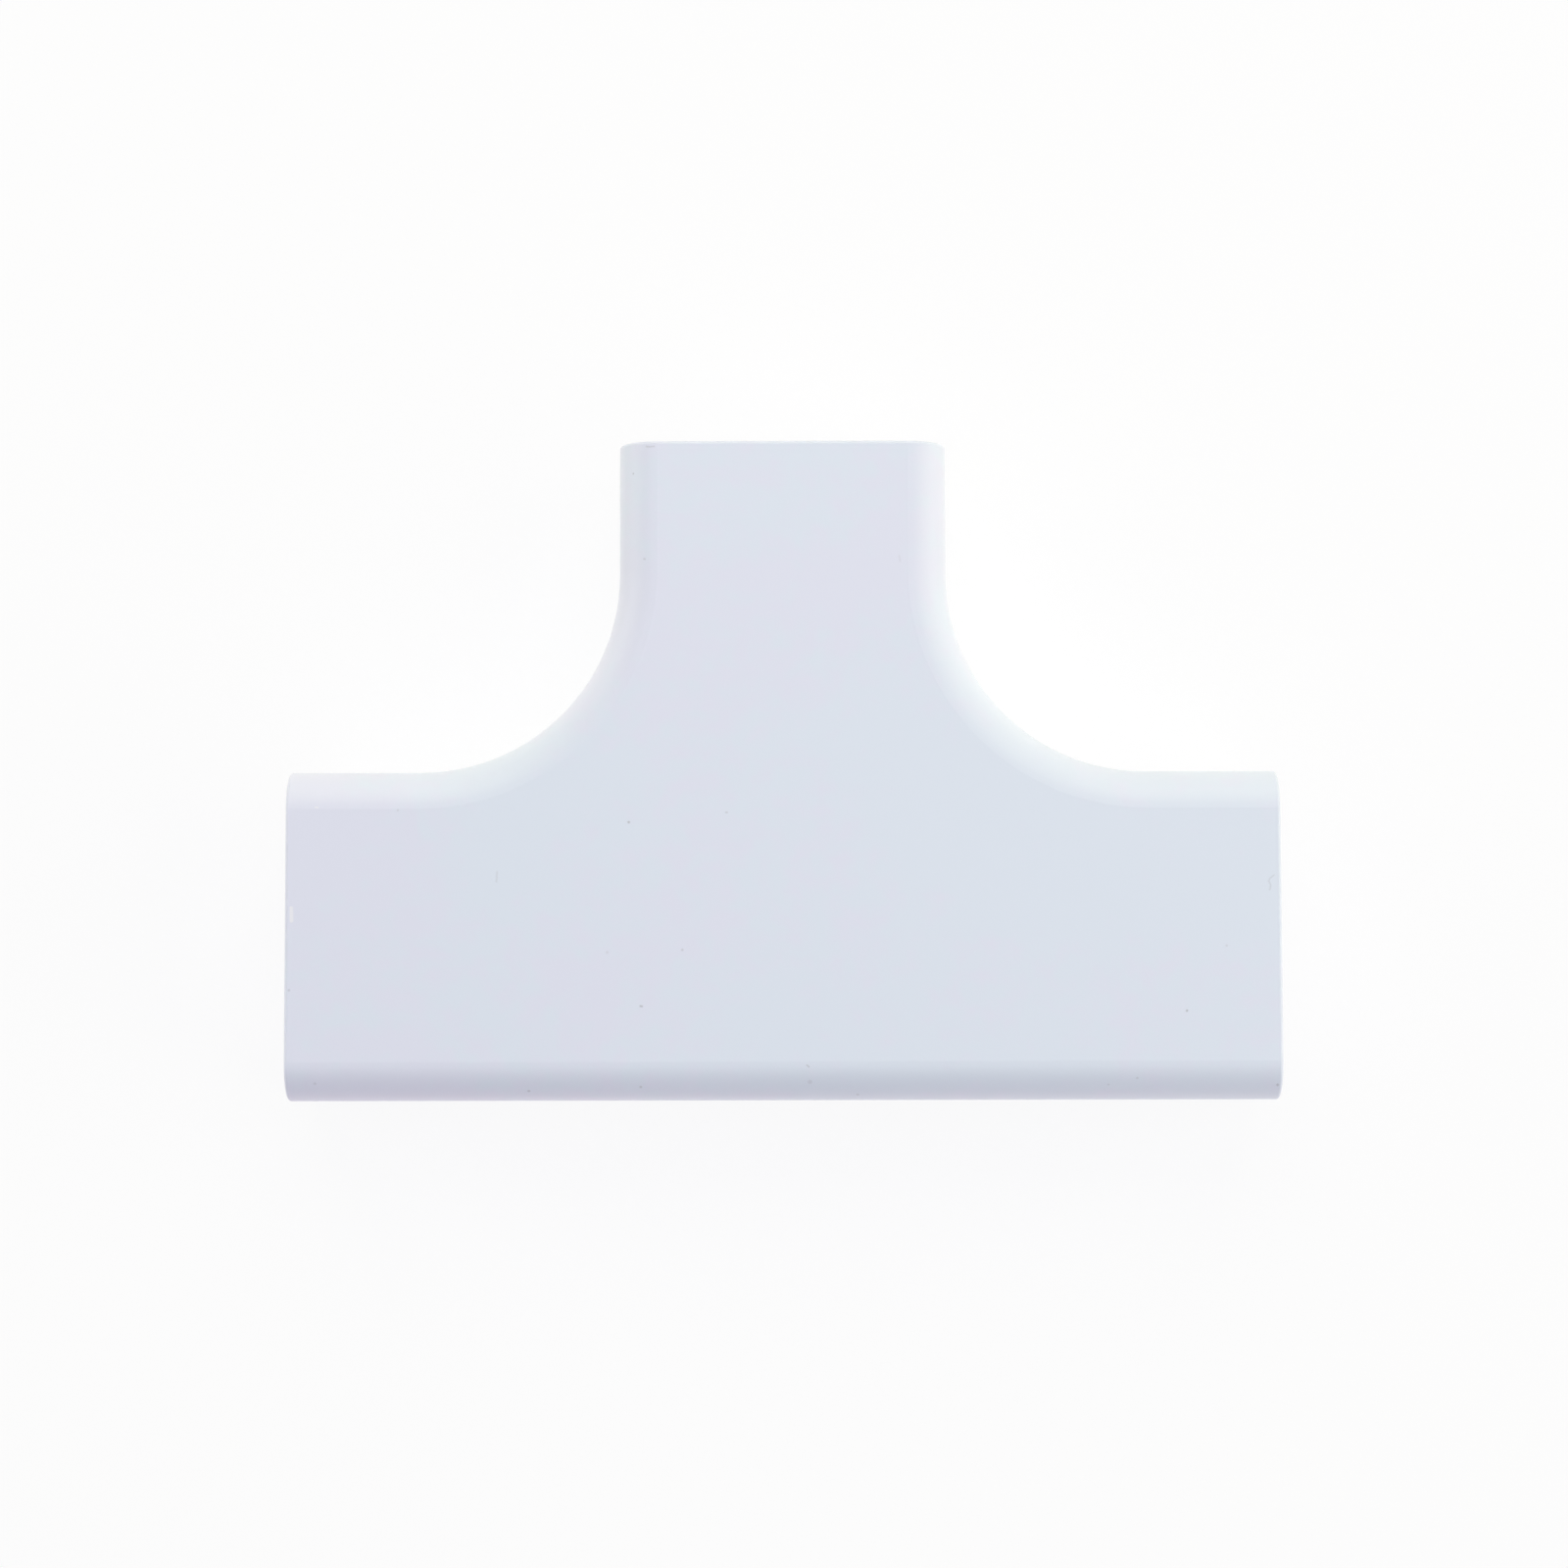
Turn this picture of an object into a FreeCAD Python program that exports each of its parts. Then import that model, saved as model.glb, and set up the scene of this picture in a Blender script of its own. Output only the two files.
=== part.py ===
import FreeCAD, Part
import math
import os
import Sketcher

# Moulded tee cover for surface trunking, in millimetres.
# The origin is where the centre lines of the three arms cross, in the plane of the wall.
# +X runs along the straight run, +Y along the branch, +Z out from the wall.
# The three arms are alike, so what an arm carries is made on the right one and turned to the others.

# Driving dimensions

size = {
    "arm_reach": 63.2,
    "arm_width": 42.0,
    "shell_height": 27.0,
    "bend_radius": 25.4,
    "wall_thickness": 1.6,
    "shoulder_radius": 5.0,
    "mouth_edge_radius": 0.45,
    "rim_lead_in": 0.4,
    "root_depth": 0.6,
    "stop_inset": 15.0,
    "stop_thickness": 1.2,
    "stop_relief": 1.2,
    "stop_foot": 6.0,
    "lug_inset": 4.0,
    "lug_length": 7.0,
    "lug_foot": 1.0,
    "lug_rise": 3.6,
    "lug_crest": 0.6,
    "lug_crest_height": 3.2,
    "lug_relief": 0.6,
    "pad_inset": 8.0,
    "pad_spacing": 26.0,
    "pad_radius": 2.0,
    "pad_relief": 0.2,
    "gate_radius": 1.2,
    "gate_relief": 0.5,
}
arm_count = 3
arm_spread = 180

doc = FreeCAD.newDocument("trunking_tee")
sheet = doc.addObject("Spreadsheet::Sheet", "Dimensions")
for row, (alias, value) in enumerate(size.items(), start=1):
    sheet.set(f"A{row}", alias)
    sheet.set(f"B{row}", str(value))
    sheet.setAlias(f"B{row}", alias)
doc.recompute()

# Sizes worked out from the driving ones, as numbers and as expressions of the sheet

half_width = size["arm_width"] / 2
bend_centre = half_width + size["bend_radius"]
inner_half = half_width - size["wall_thickness"]
ceiling = size["shell_height"] - size["wall_thickness"]
inner_shoulder = size["shoulder_radius"] - size["wall_thickness"]

half_width_text = "(Dimensions.arm_width / 2)"
inner_half_text = "(Dimensions.arm_width / 2 - Dimensions.wall_thickness)"
ceiling_text = "(Dimensions.shell_height - Dimensions.wall_thickness)"
inner_shoulder_text = "(Dimensions.shoulder_radius - Dimensions.wall_thickness)"

# In a sketch, the origin point and the upright axis

origin = (-1, 1)
upright_axis = -2
tolerance = 1e-4


# Shared steps


def origin_feature(body, role):
    for feature in body.Origin.OriginFeatures:
        if feature.Role == role:
            return feature
    raise ValueError(f"no origin feature {role}")


def new_sketch(body, name, plane_role, offset_text="0"):
    sketch = body.newObject("Sketcher::SketchObject", name)
    sketch.AttachmentSupport = [(origin_feature(body, plane_role), "")]
    sketch.MapMode = "FlatFace"
    sketch.setExpression("AttachmentOffset.Base.z", offset_text)
    sketch.Visibility = False
    return sketch


def pad_of(body, sketch, name, length_text):
    pad = body.newObject("PartDesign::Pad", name)
    pad.Profile = sketch
    pad.setExpression("Length", length_text)
    doc.recompute()
    return pad


def line(sketch, first, last):
    start = FreeCAD.Vector(*first, 0)
    end = FreeCAD.Vector(*last, 0)
    return sketch.addGeometry(Part.LineSegment(start, end), False)


def quarter_arc(sketch, centre, radius, first_angle):
    circle = Part.Circle(FreeCAD.Vector(*centre, 0), FreeCAD.Vector(0, 0, 1), radius)
    arc = Part.ArcOfCircle(circle, first_angle, first_angle + math.pi / 2)
    return sketch.addGeometry(arc, False)


def constrain(sketch, kind, *where):
    return sketch.addConstraint(Sketcher.Constraint(kind, *where))


def drive(sketch, name, expression, kind, *where):
    index = constrain(sketch, kind, *where)
    sketch.renameConstraint(index, name)
    sketch.setExpression(f"Constraints.{name}", expression)


# Where a point of the shell lies


def near(value, target):
    return abs(value - target) < tolerance


def at_mouth(point):
    return near(abs(point.x), size["arm_reach"]) or near(point.y, size["arm_reach"])


def depth_in_plan(point):
    # 0 on the outside of a side wall, one wall thickness on its inside
    x = abs(point.x)
    if x > bend_centre:
        depth = half_width - point.y
    elif point.y > bend_centre:
        depth = half_width - x
    else:
        depth = math.hypot(x - bend_centre, point.y - bend_centre) - size["bend_radius"]
    return min(depth, half_width + point.y)


def depth_in_wall(point):
    # The same, over the shoulder and the top as well
    radius = size["shoulder_radius"]
    from_side = depth_in_plan(point)
    from_top = size["shell_height"] - point.z
    if from_side < radius and from_top < radius:
        return radius - math.hypot(radius - from_side, radius - from_top)
    return min(from_side, from_top)


def edge_names(shape, wanted):
    names = []
    for index, edge in enumerate(shape.Edges, start=1):
        first, last = edge.ParameterRange
        points = [edge.valueAt(p) for p in (first, (first + last) / 2, last)]
        if all(wanted(point) for point in points):
            names.append(f"Edge{index}")
    return names


def open_face_names(shape):
    names = []
    for index, face in enumerate(shape.Faces, start=1):
        middle = face.CenterOfMass
        if near(middle.z, 0) or at_mouth(middle):
            names.append(f"Face{index}")
    return names


# Plan of the tee, with the two bends that keep a cable to its smallest bend radius


def tee_plan(body):
    sketch = new_sketch(body, "tee_plan", "XY_Plane")
    reach = size["arm_reach"]
    width = size["arm_width"]
    radius = size["bend_radius"]
    back = line(sketch, (-reach, -half_width), (reach, -half_width))
    right_mouth = line(sketch, (reach, -half_width), (reach, half_width))
    right_lip = line(sketch, (reach, half_width), (bend_centre, half_width))
    right_bend = quarter_arc(sketch, (bend_centre, bend_centre), radius, math.pi)
    right_side = line(sketch, (half_width, bend_centre), (half_width, reach))
    branch_mouth = line(sketch, (half_width, reach), (-half_width, reach))
    left_side = line(sketch, (-half_width, reach), (-half_width, bend_centre))
    left_bend = quarter_arc(sketch, (-bend_centre, bend_centre), radius, 1.5 * math.pi)
    left_lip = line(sketch, (-bend_centre, half_width), (-reach, half_width))
    left_mouth = line(sketch, (-reach, half_width), (-reach, -half_width))

    corners = (
        (back, right_mouth),
        (right_mouth, right_lip),
        (right_side, branch_mouth),
        (branch_mouth, left_side),
        (left_lip, left_mouth),
        (left_mouth, back),
    )
    for before, after in corners:
        constrain(sketch, "Coincident", before, 2, after, 1)
    constrain(sketch, "Tangent", right_lip, 2, right_bend, 2)
    constrain(sketch, "Tangent", right_bend, 1, right_side, 1)
    constrain(sketch, "Tangent", left_side, 2, left_bend, 2)
    constrain(sketch, "Tangent", left_bend, 1, left_lip, 1)
    for level in (right_lip, left_lip):
        constrain(sketch, "Horizontal", level)
    for upright in (right_mouth, right_side, left_side, left_mouth):
        constrain(sketch, "Vertical", upright)
    constrain(sketch, "Equal", right_bend, left_bend)
    constrain(sketch, "Equal", right_mouth, left_mouth)
    constrain(sketch, "Equal", right_mouth, branch_mouth)
    constrain(sketch, "Symmetric", back, 1, back, 2, upright_axis)
    constrain(sketch, "Symmetric", branch_mouth, 1, branch_mouth, 2, upright_axis)

    drive(sketch, "run_length", "2 * Dimensions.arm_reach", "DistanceX", back, 1, back, 2, 2 * reach)
    drive(sketch, "branch_reach", "Dimensions.arm_reach", "DistanceY", *origin, branch_mouth, 1, reach)
    drive(sketch, "back_offset", half_width_text, "DistanceY", back, 1, *origin, half_width)
    drive(sketch, "width", "Dimensions.arm_width", "DistanceY", right_mouth, 1, right_mouth, 2, width)
    drive(sketch, "bend", "Dimensions.bend_radius", "Radius", right_bend, radius)
    return sketch


# The shell: the plan raised, its long edges rolled over, then hollowed from the wall and the mouths


def tee_shell(body):
    block = pad_of(body, tee_plan(body), "tee_block", "Dimensions.shell_height")

    def on_long_top_edge(point):
        return near(point.z, size["shell_height"]) and near(depth_in_plan(point), 0)

    shoulders = body.newObject("PartDesign::Fillet", "shoulders")
    shoulders.Base = (block, edge_names(block.Shape, on_long_top_edge))
    shoulders.setExpression("Radius", "Dimensions.shoulder_radius")
    doc.recompute()

    shell = body.newObject("PartDesign::Thickness", "shell")
    shell.Base = (shoulders, open_face_names(shoulders.Shape))
    shell.Reversed = True
    shell.setExpression("Value", "Dimensions.wall_thickness")
    doc.recompute()
    return shell


# The mouths are softened outside, and the rim inside so that it slides over the trunking


def soften_edges(body, shell):
    def outside_a_mouth(point):
        return at_mouth(point) and near(depth_in_wall(point), 0)

    def inside_the_rim(point):
        return near(point.z, 0) and near(depth_in_plan(point), size["wall_thickness"])

    mouths = body.newObject("PartDesign::Fillet", "mouth_edges")
    mouths.Base = (shell, edge_names(shell.Shape, outside_a_mouth))
    mouths.setExpression("Radius", "Dimensions.mouth_edge_radius")
    doc.recompute()

    lead_in = body.newObject("PartDesign::Chamfer", "rim_lead_in")
    lead_in.Base = (mouths, edge_names(mouths.Shape, inside_the_rim))
    lead_in.setExpression("Size", "Dimensions.rim_lead_in")
    doc.recompute()
    return lead_in


# Stop rib: an arch on the inside of an arm, against which the end of the trunking butts


def stop_rib(body):
    plane_text = "Dimensions.arm_reach - Dimensions.stop_inset - Dimensions.stop_thickness"
    sketch = new_sketch(body, "stop_arch", "YZ_Plane", plane_text)
    foot = size["stop_foot"]
    corners = []
    arches = (
        ("root", size["root_depth"], "+ Dimensions.root_depth"),
        ("crest", -size["stop_relief"], "- Dimensions.stop_relief"),
    )
    for name, grow, grow_text in arches:
        side = inner_half + grow
        top = ceiling + grow
        radius = inner_shoulder + grow
        left_leg = line(sketch, (-side, foot), (-side, top - radius))
        left_arc = quarter_arc(sketch, (radius - side, top - radius), radius, math.pi / 2)
        crown = line(sketch, (radius - side, top), (side - radius, top))
        right_arc = quarter_arc(sketch, (side - radius, top - radius), radius, 0)
        right_leg = line(sketch, (side, top - radius), (side, foot))
        constrain(sketch, "Tangent", left_leg, 2, left_arc, 2)
        constrain(sketch, "Tangent", left_arc, 1, crown, 1)
        constrain(sketch, "Tangent", crown, 2, right_arc, 2)
        constrain(sketch, "Tangent", right_arc, 1, right_leg, 1)
        constrain(sketch, "Vertical", left_leg)
        constrain(sketch, "Vertical", right_leg)
        constrain(sketch, "Equal", left_arc, right_arc)
        constrain(sketch, "Symmetric", crown, 1, crown, 2, upright_axis)
        drive(sketch, f"{name}_side", f"{inner_half_text} {grow_text}", "DistanceX", *origin, right_leg, 2, side)
        drive(sketch, f"{name}_top", f"{ceiling_text} {grow_text}", "DistanceY", *origin, crown, 1, top)
        drive(sketch, f"{name}_radius", f"{inner_shoulder_text} {grow_text}", "Radius", right_arc, radius)
        drive(sketch, f"{name}_foot", "Dimensions.stop_foot", "DistanceY", *origin, right_leg, 2, foot)
        constrain(sketch, "Horizontal", left_leg, 1, right_leg, 2)
        corners.append((left_leg, right_leg, side))
    (root_left, root_right, root_side), (crest_left, crest_right, crest_side) = corners
    left_foot = line(sketch, (-root_side, foot), (-crest_side, foot))
    right_foot = line(sketch, (crest_side, foot), (root_side, foot))
    constrain(sketch, "Coincident", left_foot, 1, root_left, 1)
    constrain(sketch, "Coincident", left_foot, 2, crest_left, 1)
    constrain(sketch, "Coincident", right_foot, 1, crest_right, 2)
    constrain(sketch, "Coincident", right_foot, 2, root_right, 2)
    return pad_of(body, sketch, "stop_rib", "Dimensions.stop_thickness")


# Snap lugs: a wedge low on each side wall, gentle from the rim and steeper above, that grips the trunking


def snap_lugs(body):
    plane_text = "Dimensions.arm_reach - Dimensions.lug_inset - Dimensions.lug_length"
    sketch = new_sketch(body, "lug_section", "YZ_Plane", plane_text)
    root = inner_half + size["root_depth"]
    crest = inner_half - size["lug_relief"]
    root_text = f"{inner_half_text} + Dimensions.root_depth"
    crest_text = f"{inner_half_text} - Dimensions.lug_relief"
    foot = size["lug_foot"]
    crest_top = size["lug_crest_height"]
    crest_foot = crest_top - size["lug_crest"]
    for side, sign in (("left", -1), ("right", 1)):
        back = line(sketch, (sign * root, foot + size["lug_rise"]), (sign * root, foot))
        lead = line(sketch, (sign * root, foot), (sign * crest, crest_foot))
        face = line(sketch, (sign * crest, crest_foot), (sign * crest, crest_top))
        catch = line(sketch, (sign * crest, crest_top), (sign * root, foot + size["lug_rise"]))
        for before, after in ((back, lead), (lead, face), (face, catch), (catch, back)):
            constrain(sketch, "Coincident", before, 2, after, 1)
        constrain(sketch, "Vertical", back)
        constrain(sketch, "Vertical", face)
        outward = (*origin, back, 2) if sign > 0 else (back, 2, *origin)
        inward = (*origin, face, 1) if sign > 0 else (face, 1, *origin)
        drive(sketch, f"{side}_root", root_text, "DistanceX", *outward, root)
        drive(sketch, f"{side}_crest", crest_text, "DistanceX", *inward, crest)
        drive(sketch, f"{side}_foot", "Dimensions.lug_foot", "DistanceY", *origin, back, 2, foot)
        drive(sketch, f"{side}_rise", "Dimensions.lug_rise", "DistanceY", back, 2, back, 1, size["lug_rise"])
        drive(sketch, f"{side}_top", "Dimensions.lug_crest_height", "DistanceY", *origin, face, 2, crest_top)
        drive(sketch, f"{side}_face", "Dimensions.lug_crest", "DistanceY", face, 1, face, 2, size["lug_crest"])
    return pad_of(body, sketch, "snap_lugs", "Dimensions.lug_length")


# Round witness pads of the ejector pins, and the stub of the gate, proud of the ceiling


def ceiling_discs(body, name, radius_alias, relief_alias, centres):
    plane_text = f"{ceiling_text} - Dimensions.{relief_alias}"
    sketch = new_sketch(body, f"{name}_plan", "XY_Plane", plane_text)
    radius = size[radius_alias]
    for index, (x, x_text, y, y_text) in enumerate(centres):
        circle = Part.Circle(FreeCAD.Vector(x, y, 0), FreeCAD.Vector(0, 0, 1), radius)
        disc = sketch.addGeometry(circle, False)
        drive(sketch, f"radius_{index}", f"Dimensions.{radius_alias}", "Radius", disc, radius)
        if x_text is None:
            constrain(sketch, "Coincident", disc, 3, *origin)
            continue
        across = (*origin, disc, 3) if y > 0 else (disc, 3, *origin)
        drive(sketch, f"along_{index}", x_text, "DistanceX", *origin, disc, 3, x)
        drive(sketch, f"across_{index}", y_text, "DistanceY", *across, abs(y))
    return pad_of(body, sketch, name, f"Dimensions.{relief_alias} + Dimensions.root_depth")


def ejector_pads(body):
    along = size["arm_reach"] - size["pad_inset"]
    along_text = "Dimensions.arm_reach - Dimensions.pad_inset"
    across = size["pad_spacing"] / 2
    across_text = "Dimensions.pad_spacing / 2"
    centres = [(along, along_text, sign * across, across_text) for sign in (-1, 1)]
    return ceiling_discs(body, "ejector_pads", "pad_radius", "pad_relief", centres)


def gate_stub(body):
    return ceiling_discs(body, "gate_stub", "gate_radius", "gate_relief", [(0, None, 0, None)])


# What the right arm carries, turned to the branch and to the left arm


def repeat_on_arms(body, features):
    pattern = body.newObject("PartDesign::PolarPattern", "all_arms")
    pattern.Originals = features
    pattern.Axis = (origin_feature(body, "Z_Axis"), [""])
    pattern.Angle = arm_spread
    pattern.Occurrences = arm_count
    body.Tip = pattern
    doc.recompute()
    return pattern


def make_tee_cover():
    body = doc.addObject("PartDesign::Body", "tee_cover")
    body.Label = "tee_cover"
    body.Placement = FreeCAD.Placement(FreeCAD.Vector(0, 0, 0), FreeCAD.Rotation())
    shell = tee_shell(body)
    soften_edges(body, shell)
    gate_stub(body)
    on_the_arm = [stop_rib(body), snap_lugs(body), ejector_pads(body)]
    repeat_on_arms(body, on_the_arm)
    return body


# Build, check and write

parts = [make_tee_cover()]
doc.recompute()

for item in doc.Objects:
    if "Invalid" in item.State or "Error" in item.State:
        raise RuntimeError(f"{item.Name} did not build: {item.State}")
for item in parts:
    if item.Shape.isNull() or not item.Shape.isValid():
        raise RuntimeError(f"{item.Label} has no valid shape")

os.makedirs("parts", exist_ok=True)
for item in parts:
    item.Shape.exportStep(f"parts/{item.Label}.step")
    box = item.Shape.BoundBox
    spans = f"{box.XLength:.2f} x {box.YLength:.2f} x {box.ZLength:.2f} mm"
    print(f"{item.Label}: {spans}, {item.Shape.Volume / 1000:.2f} cm3, {len(item.Shape.Faces)} faces")
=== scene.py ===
import math
import bmesh
import bpy
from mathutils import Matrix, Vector


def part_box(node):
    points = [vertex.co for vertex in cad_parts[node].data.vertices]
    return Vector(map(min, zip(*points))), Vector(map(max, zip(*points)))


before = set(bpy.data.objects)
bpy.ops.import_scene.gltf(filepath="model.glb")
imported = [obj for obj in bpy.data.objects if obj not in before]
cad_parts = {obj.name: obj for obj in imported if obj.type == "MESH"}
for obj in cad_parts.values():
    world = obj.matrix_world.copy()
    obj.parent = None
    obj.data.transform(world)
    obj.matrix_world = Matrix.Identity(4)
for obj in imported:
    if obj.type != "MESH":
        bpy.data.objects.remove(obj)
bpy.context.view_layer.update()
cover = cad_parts["tee_cover"]
coverLow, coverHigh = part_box("tee_cover")
mm = 0.001
white = (1.0, 1.0, 1.0, 1.0)
print("frame loaded, cover spans", [round(side / mm, 1) for side in coverHigh - coverLow], "mm")


class Wire:
    # one output of a node, so shader maths can be written as plain sums

    def __init__(self, tree, socket=None):
        self.tree = tree
        self.socket = socket

    def node(self, kind, settings, values, output=0):
        made = self.tree.nodes.new(kind)
        for name, value in settings.items():
            setattr(made, name, value)
        for place, value in values.items():
            if isinstance(value, Wire):
                self.tree.links.new(value.socket, made.inputs[place])
            else:
                made.inputs[place].default_value = value
        return Wire(self.tree, made.outputs[output])

    def maths(self, operation, *values, clamp=False):
        settings = {"operation": operation, "use_clamp": clamp}
        return self.node("ShaderNodeMath", settings, dict(enumerate(values)))

    def vector(self, operation, *values, output=0):
        return self.node("ShaderNodeVectorMath", {"operation": operation}, dict(enumerate(values)), output)

    def __add__(self, other):
        return self.maths("ADD", self, other)

    def __sub__(self, other):
        return self.maths("SUBTRACT", self, other)

    def __rsub__(self, other):
        return self.maths("SUBTRACT", other, self)

    def __mul__(self, other):
        return self.maths("MULTIPLY", self, other)

    __radd__ = __add__
    __rmul__ = __mul__

    def atLeast(self, other):
        return self.maths("MAXIMUM", self, other)

    def atMost(self, other):
        return self.maths("MINIMUM", self, other)

    def shareAlong(self, direction):
        # how far a place lies along a direction, in metres where the direction is one long
        return self.vector("DOT_PRODUCT", self, direction, output="Value")

    def ramp(self, low, high):
        settings = {"interpolation_type": "SMOOTHSTEP", "clamp": True}
        return self.node("ShaderNodeMapRange", settings, {"Value": self, "From Min": low, "From Max": high})

    def noise(self, pattern, output=0):
        # a pattern is the size of its patches in millimetres and how many finer layers it has
        size, layers = pattern
        values = {"Vector": self, "Scale": 1 / (size * mm), "Detail": layers}
        return self.node("ShaderNodeTexNoise", {"noise_dimensions": "3D"}, values, output)

    def blend(self, first, second):
        values = {0: self, 6: first, 7: second}
        return self.node("ShaderNodeMix", {"data_type": "RGBA"}, values, output=2)


def newMaterial(name):
    material = bpy.data.materials.new(name)
    material.use_nodes = True
    material.node_tree.nodes.clear()
    return material, Wire(material.node_tree)


def connectOutput(start, kind, surface):
    output = start.tree.nodes.new(kind)
    start.tree.links.new(surface.socket, output.inputs["Surface"])


# colours are linear, and lengths are in millimetres unless a note says otherwise
plastic = {
    "coolWhite": (0.722, 0.785, 0.862, 1.0),
    "lilacWhite": (0.742, 0.765, 0.862, 1.0),
    "tone": (28.0, 2.0),
    "toneMirror": (-1.0, 1.0, 1.0),  # lays the lilac patches on the left
    "mottle": (3.0, 3.0),
    "toneShare": 0.6,  # the mottle has the rest
    "coolDrift": (1.2, 0.0, 0.0),  # per metre, cooler to the right
    "tintLow": 0.43,
    "tintHigh": 0.63,
    "grain": (0.35, 2.0),
    "grainDepth": 0.004,
    "waves": (22.0, 1.0),
    "waveDepth": 0.02,
    "roughLow": 0.38,
    "roughHigh": 0.48,
    "gloss": 0.42,
}

# each mark on the cover: its points across and along, its width and how much of its colour it has
handling = {
    "dustColour": (0.20, 0.19, 0.19, 1.0),
    "scuffColour": (0.90, 0.90, 0.90, 1.0),
    "softEdge": 0.10,
    "ragged": 0.12,
    "raggedness": (0.5, 1.0),
    "dust": [
        ([(-19.6, 14.3)], 0.31, 0.40),
        ([(-18.1, -9.0), (-17.9, -9.05)], 0.22, 0.44),
        ([(51.0, -9.7)], 0.27, 0.46),
        ([(-19.1, 59.1)], 0.22, 0.42),
        ([(-17.7, 48.0), (-17.55, 47.95)], 0.20, 0.24),
        ([(2.95, -16.5), (3.2, -16.7)], 0.18, 0.30),
        ([(-7.3, 15.5), (-7.1, 15.5)], 0.17, 0.30),
        ([(-12.8, -1.9)], 0.29, 0.24),
        ([(-62.55, -6.9)], 0.34, 0.22),
        ([(-32.3, -19.7)], 0.40, 0.30),
        ([(-18.1, -19.2)], 0.38, 0.27),
        ([(9.4, -20.25)], 0.44, 0.20),
        ([(62.5, -19.1)], 0.40, 0.30),
        ([(-59.3, -18.7)], 0.38, 0.16),
        ([(3.3, -18.6)], 0.60, 0.13),
        ([(-22.3, -2.2)], 0.36, 0.14),
        ([(-48.9, 15.9)], 0.26, 0.18),
        ([(41.1, -19.0)], 0.30, 0.18),
        ([(44.7, -18.2)], 0.30, 0.18),
        ([(14.9, 48.3), (15.0, 47.6)], 0.20, 0.10),
        ([(56.1, -1.5)], 0.28, 0.16),
        ([(-36.3, 8.0), (-36.35, 6.8)], 0.22, 0.14),
        ([(-17.4, 62.45), (-16.9, 62.4), (-16.4, 62.45)], 0.17, 0.26),
        ([(62.2, 7.4), (61.65, 6.95), (61.55, 6.6), (61.8, 6.15), (61.65, 5.6)], 0.17, 0.18),
    ],
    "scuffs": [
        ([(-62.35, 3.5), (-62.3, 1.9)], 0.46, 0.55),
        ([(-59.4, 16.3), (-59.1, 16.25)], 0.20, 0.50),
    ],
}


def onCover(x, y):
    # the point of the outer skin right below a place given in millimetres
    above = Vector((x * mm, y * mm, 2 * coverHigh.z))
    found = cover.ray_cast(above, Vector((0.0, 0.0, -1.0)))
    return found[1]


def strokeDistance(place, start, end):
    along = end - start
    offset = place.vector("SUBTRACT", place, start)
    share = offset.shareAlong(along)
    share = share.maths("MULTIPLY", share, 1 / along.length_squared, clamp=True)
    nearest = share.node("ShaderNodeVectorMath", {"operation": "SCALE"}, {0: along, "Scale": share})
    return offset.vector("DISTANCE", offset, nearest, output="Value")


def marksMask(place, marks):
    mask = 0.0
    soft = handling["softEdge"] * mm
    for spots, width, strength in marks:
        points = [onCover(x, y) for x, y in spots]
        if len(points) == 1:
            away = place.vector("DISTANCE", place, points[0], output="Value")
        else:
            strokes = [strokeDistance(place, start, end) for start, end in zip(points, points[1:])]
            away = strokes[0]
            for stroke in strokes[1:]:
                away = away.atMost(stroke)
        edge = width / 2 * mm
        mask = (strength * away.ramp(edge + soft, edge - soft)).atLeast(mask)
    return mask


def raggedPlace(place):
    # moves each place a little, so that the edges of the marks aren't even
    noiseMiddle = (0.5, 0.5, 0.5)
    shift = place.noise(handling["raggedness"], output="Color")
    shift = shift.vector("SUBTRACT", shift, noiseMiddle)
    reach = {0: shift, "Scale": handling["ragged"] * mm}
    shift = shift.node("ShaderNodeVectorMath", {"operation": "SCALE"}, reach)
    return place.vector("ADD", place, shift)


def makePlastic():
    material, start = newMaterial("moulded_white_plastic")
    place = start.node("ShaderNodeTexCoord", {}, {}, output="Object")

    mirrored = place.vector("MULTIPLY", place, plastic["toneMirror"])
    tone = mirrored.noise(plastic["tone"]) * plastic["toneShare"]
    mottle = place.noise(plastic["mottle"]) * (1 - plastic["toneShare"])
    tint = tone + mottle - place.shareAlong(plastic["coolDrift"])
    tint = tint.ramp(plastic["tintLow"], plastic["tintHigh"])
    colour = tint.blend(plastic["coolWhite"], plastic["lilacWhite"])

    ragged = raggedPlace(place)
    colour = marksMask(ragged, handling["dust"]).blend(colour, handling["dustColour"])
    colour = marksMask(ragged, handling["scuffs"]).blend(colour, handling["scuffColour"])

    grain = place.noise(plastic["grain"])
    waves = place.noise(plastic["waves"])
    height = plastic["grainDepth"] * mm * grain + plastic["waveDepth"] * mm * waves
    bump = start.node("ShaderNodeBump", {}, {"Height": height, "Strength": 1.0, "Distance": 1.0})
    roughness = plastic["roughLow"] + (plastic["roughHigh"] - plastic["roughLow"]) * grain

    values = {
        "Base Color": colour,
        "Roughness": roughness,
        "Normal": bump,
        "Specular IOR Level": plastic["gloss"],
    }
    surface = start.node("ShaderNodeBsdfPrincipled", {}, values)
    connectOutput(start, "ShaderNodeOutputMaterial", surface)
    return material


cover.data.materials.clear()
cover.data.materials.append(makePlastic())
print("moulded plastic on the cover")


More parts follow.
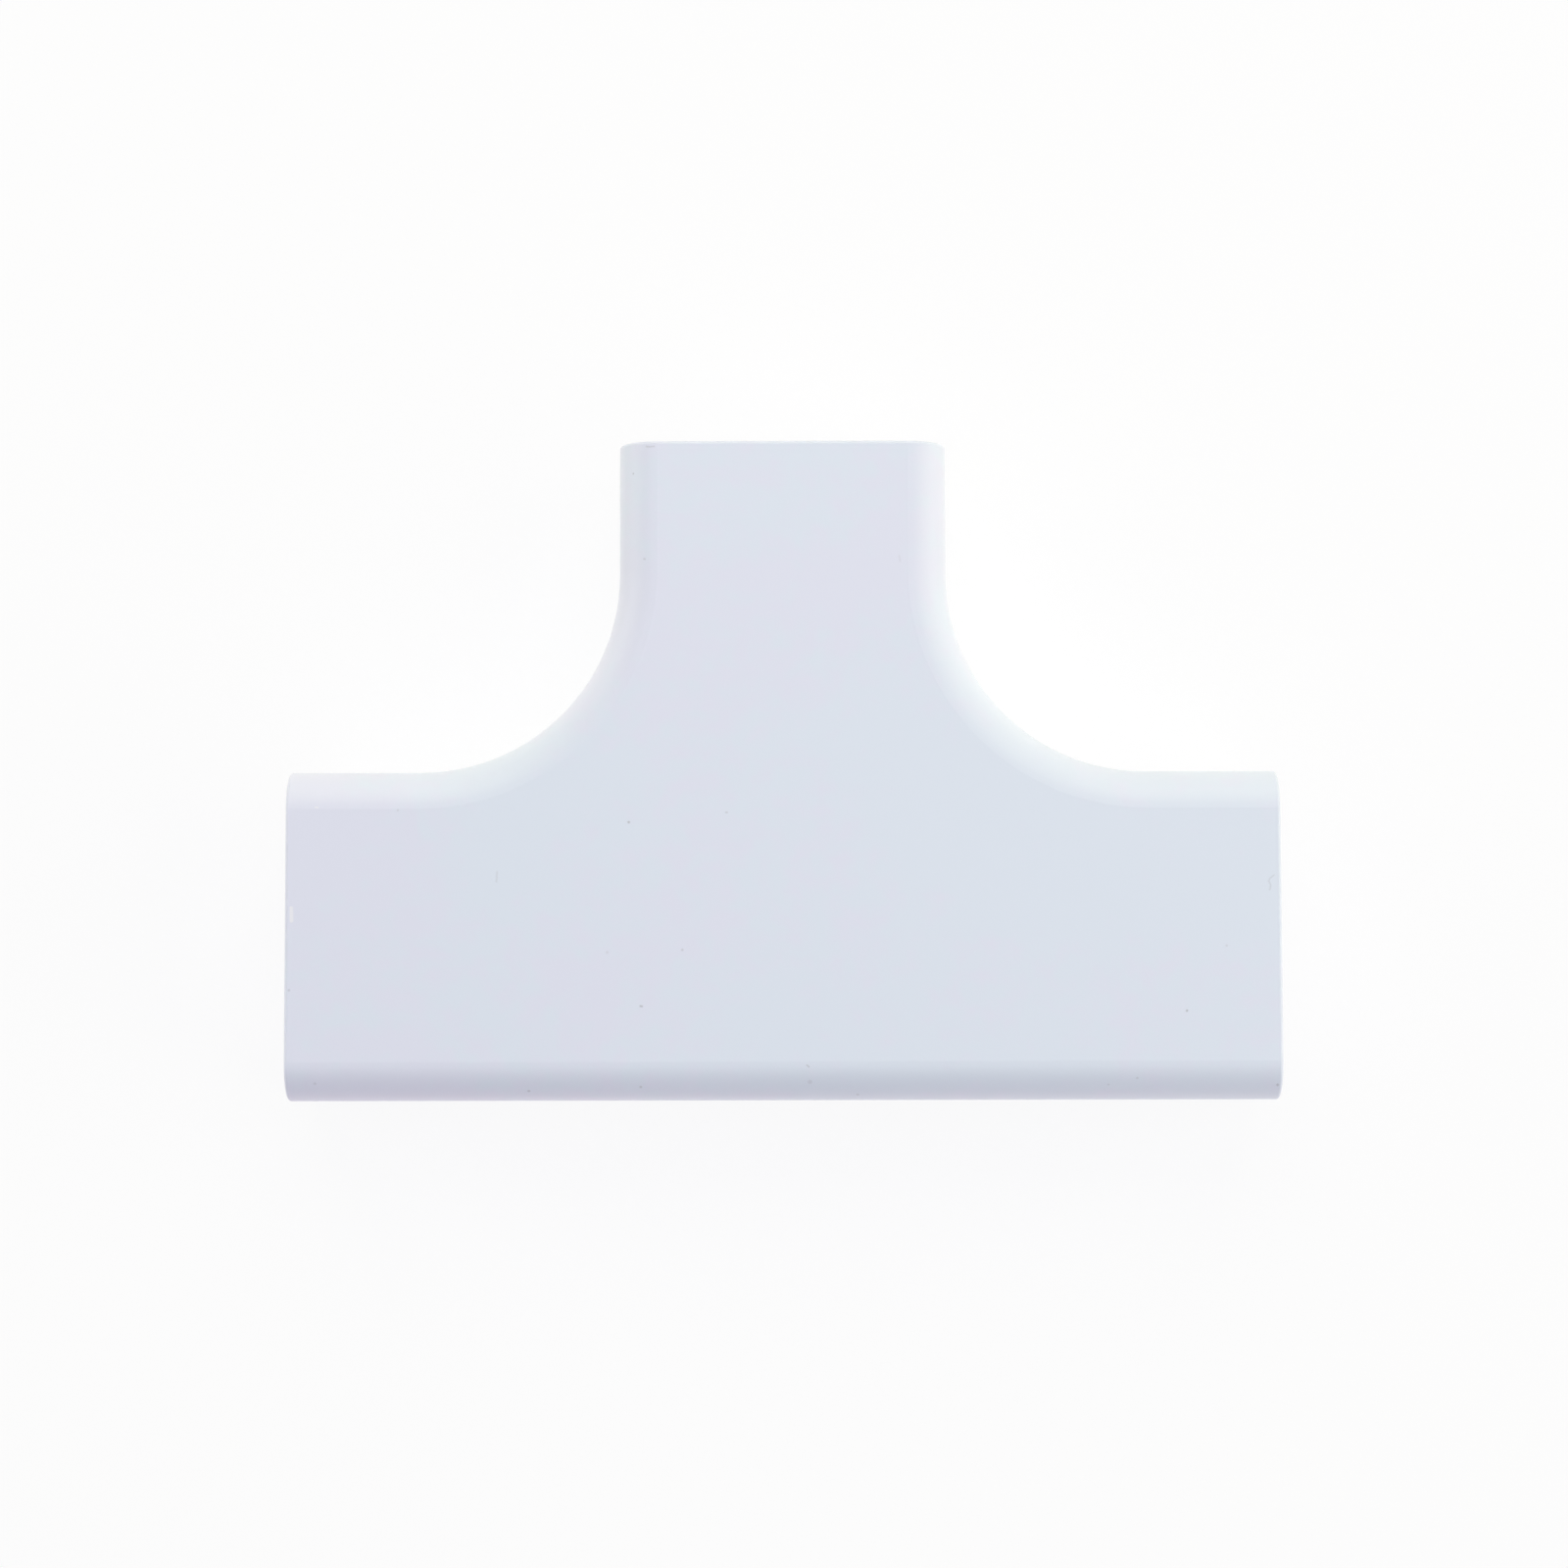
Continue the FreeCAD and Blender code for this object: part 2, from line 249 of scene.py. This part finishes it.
# the floor is a lit white panel: what it throws up on the sides is apart from how white it looks,
# and it throws up more in front, where no lamp helps
floor = {
    "sideMetres": 14.0,
    "paper": (0.90, 0.90, 0.90, 1.0),
    "paperShare": 0.12,  # of what is seen next to the cover, where its shadow falls
    "shadowReach": 90.0,
    "shadowEnd": 600.0,
    "upLightFront": (0.94, 0.79, 0.86, 1.0),
    "upLightBack": (0.54, 0.49, 0.43, 1.0),
    "upLightReach": 60.0,
    "backwards": (0.0, 1.0, 0.0),
}


def seenDirectly(start):
    # 1 for what the camera, a reflection or a see-through material looks at
    camera, glossy, through = (
        start.node("ShaderNodeLightPath", {}, {}, output=name)
        for name in ("Is Camera Ray", "Is Glossy Ray", "Is Transmission Ray")
    )
    return camera.atLeast(glossy).atLeast(through)


def makePanel():
    material, start = newMaterial("studio_panel")
    place = start.node("ShaderNodeTexCoord", {}, {}, output="Object")
    paper = start.node("ShaderNodeBsdfDiffuse", {}, {"Color": floor["paper"]})

    reach = floor["upLightReach"] * mm
    backShare = place.shareAlong(floor["backwards"]).ramp(-reach, reach)
    upColour = backShare.blend(floor["upLightFront"], floor["upLightBack"])
    upLight = start.node("ShaderNodeEmission", {}, {"Color": upColour, "Strength": 1.0})
    lighting = start.node("ShaderNodeAddShader", {}, {0: paper, 1: upLight})

    away = place.vector("LENGTH", place, output="Value")
    away = away.ramp(floor["shadowReach"] * mm, floor["shadowEnd"] * mm)
    glow = start.node("ShaderNodeEmission", {}, {"Color": white, "Strength": 1.0})
    paperShare = (1 - away) * floor["paperShare"]
    seen = start.node("ShaderNodeMixShader", {}, {0: paperShare, 1: glow, 2: paper})

    panel = start.node("ShaderNodeMixShader", {}, {0: seenDirectly(start), 1: lighting, 2: seen})
    connectOutput(start, "ShaderNodeOutputMaterial", panel)
    return material


def makeFloor():
    shape = bmesh.new()
    bmesh.ops.create_grid(shape, x_segments=1, y_segments=1, size=floor["sideMetres"] / 2)
    mesh = bpy.data.meshes.new("studio_floor")
    shape.to_mesh(mesh)
    shape.free()
    mesh.materials.append(makePanel())
    ground = bpy.data.objects.new("studio_floor", mesh)
    bpy.context.scene.collection.objects.link(ground)


makeFloor()
print("floor laid")


# places in metres; a lamp's level is how much of a full white it gives to a face turned straight at it
lamps = {
    "overhead": {"place": (0.03, 0.06, 1.098), "side": 1.0, "level": 0.393, "colour": (0.63, 0.665, 0.99)},
    "right": {"place": (0.823, 0.0, 0.475), "side": 1.0, "level": 0.655, "colour": (1.0, 0.955, 0.78)},
    "back": {"place": (0.0, 0.672, 0.672), "side": 0.8, "level": 0.455, "colour": (1.0, 0.955, 0.75)},
    "lowLeft": {"place": (-0.865, 0.22, 0.32), "side": 0.7, "level": 0.34, "colour": (1.0, 0.98, 0.81)},
}
surround = {"level": 0.12, "colour": (0.95, 0.96, 1.0, 1.0)}


def makeLamp(name, lamp):
    light = bpy.data.lights.new(name, "AREA")
    light.shape = "SQUARE"
    light.size = lamp["side"]
    light.color = lamp["colour"]
    place = Vector(lamp["place"])
    light.energy = lamp["level"] * math.pi ** 2 * place.length_squared
    holder = bpy.data.objects.new(name, light)
    holder.location = place
    holder.rotation_euler = place.to_track_quat("Z", "Y").to_euler()
    bpy.context.scene.collection.objects.link(holder)


def makeSurround():
    world = bpy.data.worlds.new("studio")
    world.use_nodes = True
    bpy.context.scene.world = world
    world.node_tree.nodes.clear()
    start = Wire(world.node_tree)
    lit = start.node("ShaderNodeBackground", {}, {"Color": surround["colour"], "Strength": surround["level"]})
    seen = start.node("ShaderNodeBackground", {}, {"Color": white, "Strength": 1.0})
    both = start.node("ShaderNodeMixShader", {}, {0: seenDirectly(start), 1: lit, 2: seen})
    connectOutput(start, "ShaderNodeOutputWorld", both)


for name, lamp in lamps.items():
    makeLamp(name, lamp)
makeSurround()
print("lamps placed")


# nearly straight above the cover, leaning a little to look towards its back;
# the place is in metres, the turn in degrees, the lens and the sensor in millimetres
view = {
    "place": (0.00005, -0.0114, 0.4613),
    "turn": (4.02, 0.0, -0.12),
    "lens": 78.7,
    "sensor": 36.0,
}


def makeCamera():
    lens = bpy.data.cameras.new("camera")
    lens.lens = view["lens"]
    lens.sensor_width = view["sensor"]
    camera = bpy.data.objects.new("camera", lens)
    camera.location = view["place"]
    camera.rotation_euler = [math.radians(angle) for angle in view["turn"]]
    bpy.context.scene.collection.objects.link(camera)
    bpy.context.scene.camera = camera


makeCamera()
bpy.context.scene.view_settings.view_transform = "Standard"
print("camera set")
